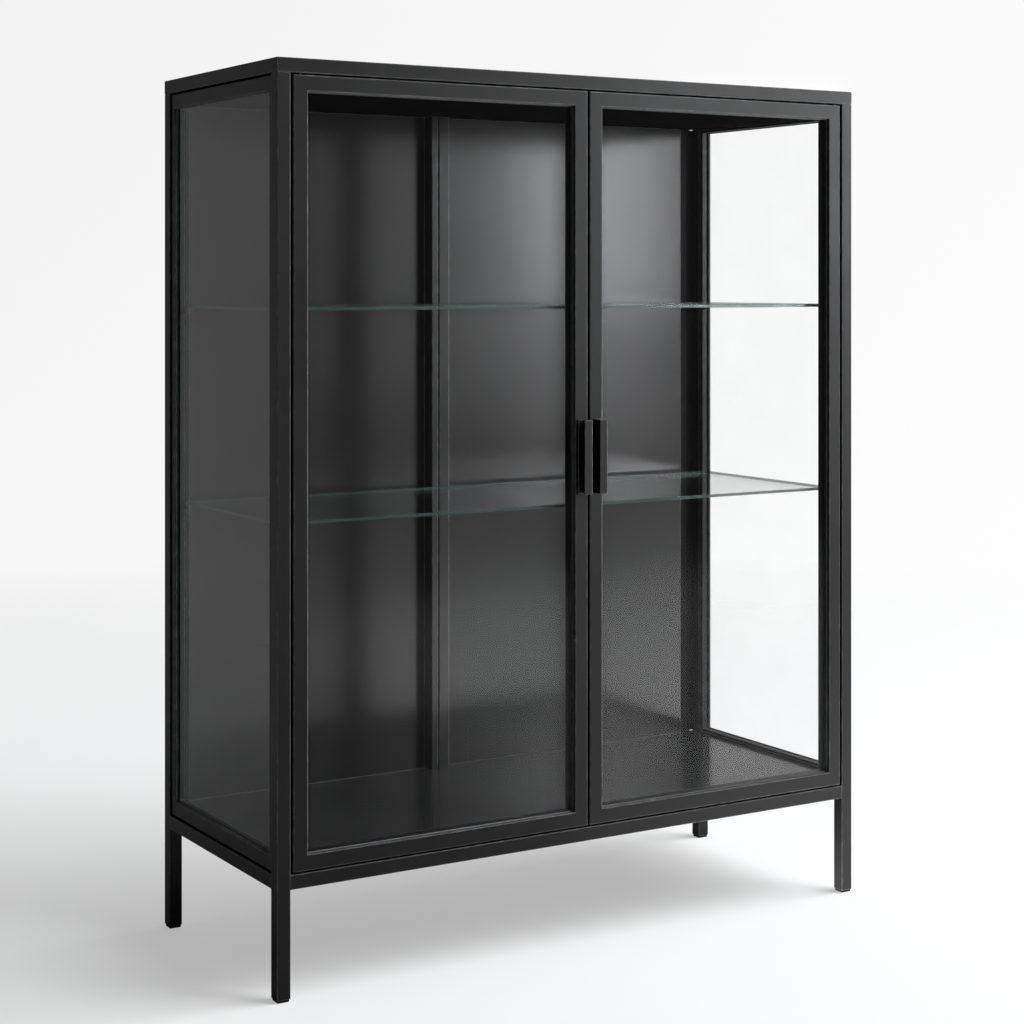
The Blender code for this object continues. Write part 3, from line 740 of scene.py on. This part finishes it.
def room_level(tree, direction):
    """Light of the unseen room: dark at the front left, pale to the right, behind and below."""
    up = add_node(tree, "ShaderNodeSeparateXYZ", {"Vector": direction}).outputs["Z"]
    slant_bearing = FAR_FLOOR_BEARING + FAR_FLOOR_SLANT_TURN
    slant = glow_towards(tree, direction, slant_bearing, -1.0, 1.0, 2 * FAR_FLOOR_SLANT)
    edge = maths(tree, "SUBTRACT", up, maths(tree, "SUBTRACT", slant, FAR_FLOOR_SLANT))
    far_floor = maths(tree, "MULTIPLY", spread(tree, edge, *FAR_FLOOR_FADE, FAR_FLOOR, 0.0),
                      glow_towards(tree, direction, FAR_FLOOR_BEARING, *FAR_FLOOR_EDGES, 1.0))
    total = maths(tree, "ADD", far_floor, ROOM_DARK)
    for lobe in ROOM_LOBES:
        total = maths(tree, "ADD", total, glow_towards(tree, direction, *lobe))
    return total


def add_world():
    """Pale backdrop to the camera, and a dim room to everything else."""
    world = bpy.data.worlds.new("studio")
    bpy.context.scene.world = world
    world.use_nodes = True
    tree = world.node_tree
    tree.nodes.clear()
    direction = add_node(tree, "ShaderNodeTexCoord").outputs["Generated"]
    seen = add_node(tree, "ShaderNodeBackground", {
        "Color": (1, 1, 1, 1), "Strength": backdrop_colour(tree, direction)})
    room = add_node(tree, "ShaderNodeBackground", {
        "Color": (1, 1, 1, 1), "Strength": room_level(tree, direction)})
    by_camera = add_node(tree, "ShaderNodeLightPath").outputs["Is Camera Ray"]
    both = add_node(tree, "ShaderNodeMixShader", {
        0: by_camera, 1: room.outputs[0], 2: seen.outputs[0]})
    add_node(tree, "ShaderNodeOutputWorld", {"Surface": both.outputs[0]})


def add_floor():
    """Large pale floor disc that fades into the backdrop far from the cabinet."""
    bm = bmesh.new()
    bmesh.ops.create_circle(bm, cap_ends=True, radius=FLOOR_RADIUS, segments=FLOOR_SIDES)
    mesh = bpy.data.meshes.new("studio_floor")
    bm.to_mesh(mesh)
    bm.free()
    floor = bpy.data.objects.new("studio_floor", mesh)
    bpy.context.scene.collection.objects.link(floor)
    material, tree = start_material("studio_floor")
    place = add_node(tree, "ShaderNodeTexCoord").outputs["Object"]
    distance = add_node(tree, "ShaderNodeVectorMath", {0: place}, operation="LENGTH").outputs["Value"]
    fade = spread(tree, distance, FLOOR_FADE_START, FLOOR_FADE_END, 0.0, 1.0)
    mottle = noise(tree, place, *FLOOR_MOTTLE)
    pale = blend_colours(tree, mottle, FLOOR_LESS_PALE, FLOOR_PALE)
    by_camera = add_node(tree, "ShaderNodeLightPath").outputs["Is Camera Ray"]
    matt = add_node(tree, "ShaderNodeBsdfDiffuse", {
        "Color": blend_colours(tree, by_camera, FLOOR_BOUNCE, pale)})
    open_air = add_node(tree, "ShaderNodeBsdfTransparent")
    outwards = add_node(tree, "ShaderNodeVectorMath", {0: place}, operation="NORMALIZE")
    patch = glow_towards(tree, outwards.outputs["Vector"], *FLOOR_PATCH)
    glow = add_node(tree, "ShaderNodeEmission", {
        "Strength": add_node(tree, "ShaderNodeMix", {
            0: by_camera, 2: patch, 3: FLOOR_GLOW_SEEN}).outputs[0]})
    lit = add_node(tree, "ShaderNodeAddShader", {0: matt.outputs[0], 1: glow.outputs[0]})
    both = add_node(tree, "ShaderNodeMixShader", {
        0: fade, 1: lit.outputs[0], 2: open_air.outputs[0]})
    finish_material(tree, both.outputs[0])
    mesh.materials.append(material)
    return floor


add_camera()
add_world()
add_lights(add_floor())
finishes = make_materials()
dress_cad(finishes)
add_handle_screws(finishes)
add_bracket_screws(finishes)
add_back_screws(finishes)
add_sealant(finishes)
add_corner_plugs(finishes)
add_support_strip(finishes)
bpy.context.scene.view_settings.view_transform = 'Standard'
